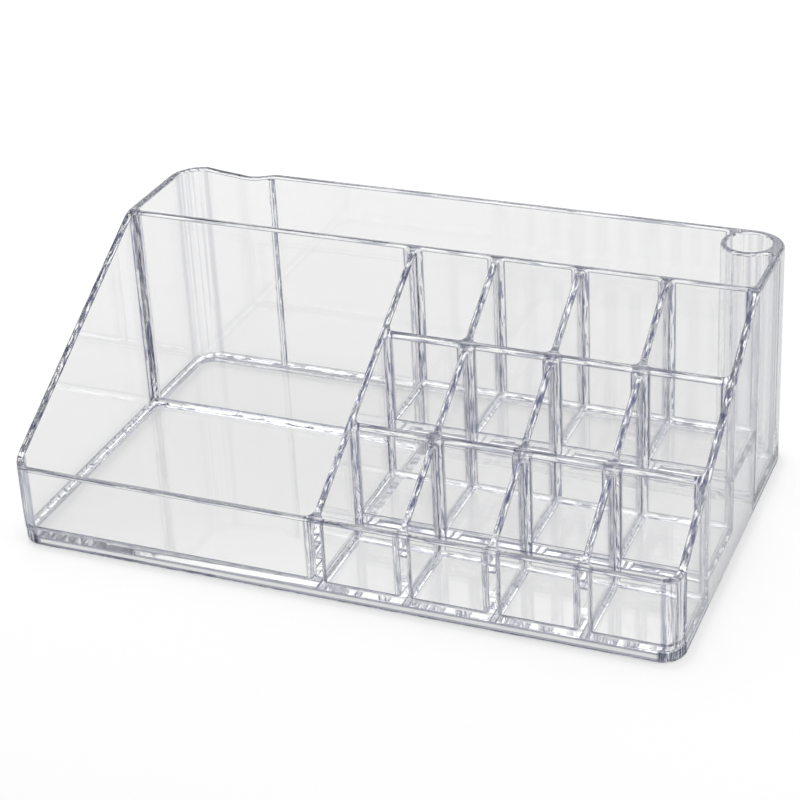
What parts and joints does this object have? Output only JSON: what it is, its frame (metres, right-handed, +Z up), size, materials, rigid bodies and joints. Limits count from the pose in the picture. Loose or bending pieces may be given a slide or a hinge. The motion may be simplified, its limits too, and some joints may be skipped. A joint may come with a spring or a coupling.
{
  "type": "vanity organizer",
  "caption": "Clear plastic make-up organizer with an open tray, stepped lipstick cells under a sloping rim, a deep rear trough and a corner brush tube.",
  "frame": {"origin": "middle of the footprint, on the surface that the organizer stands on", "axes": "+X to the user's right along the back wall, +Y from the low front rim to the back wall, +Z up"},
  "size_m": [0.234, 0.141, 0.084],
  "materials": {
    "moulded_shell": "clear polished polystyrene",
    "moulded_base": "clear polished polystyrene",
    "moulded_divider": "clear polished polystyrene",
    "moulded_tube": "clear polished polystyrene"
  },
  "bodies": {
    "root": {"foot_rim": "moulded_base", "tray_floor": "moulded_base", "trough_floor": "moulded_base", "front_row_floor": "moulded_base", "middle_row_floor": "moulded_base", "rear_row_floor": "moulded_base", "front_wall": "moulded_shell", "left_wall": "moulded_shell", "right_wall": "moulded_shell", "back_wall": "moulded_shell", "back_wall_rib": "moulded_tube", "long_partition": "moulded_divider", "tray_divider": "moulded_divider", "lower_row_wall": "moulded_divider", "upper_row_wall": "moulded_divider", "front_cell_divider_1": "moulded_divider", "front_cell_divider_2": "moulded_divider", "front_cell_divider_3": "moulded_divider", "middle_cell_divider_1": "moulded_divider", "middle_cell_divider_2": "moulded_divider", "middle_cell_divider_3": "moulded_divider", "rear_cell_divider_1": "moulded_divider", "rear_cell_divider_2": "moulded_divider", "rear_cell_divider_3": "moulded_divider", "brush_tube": "moulded_tube"}
  },
  "joints": []
}
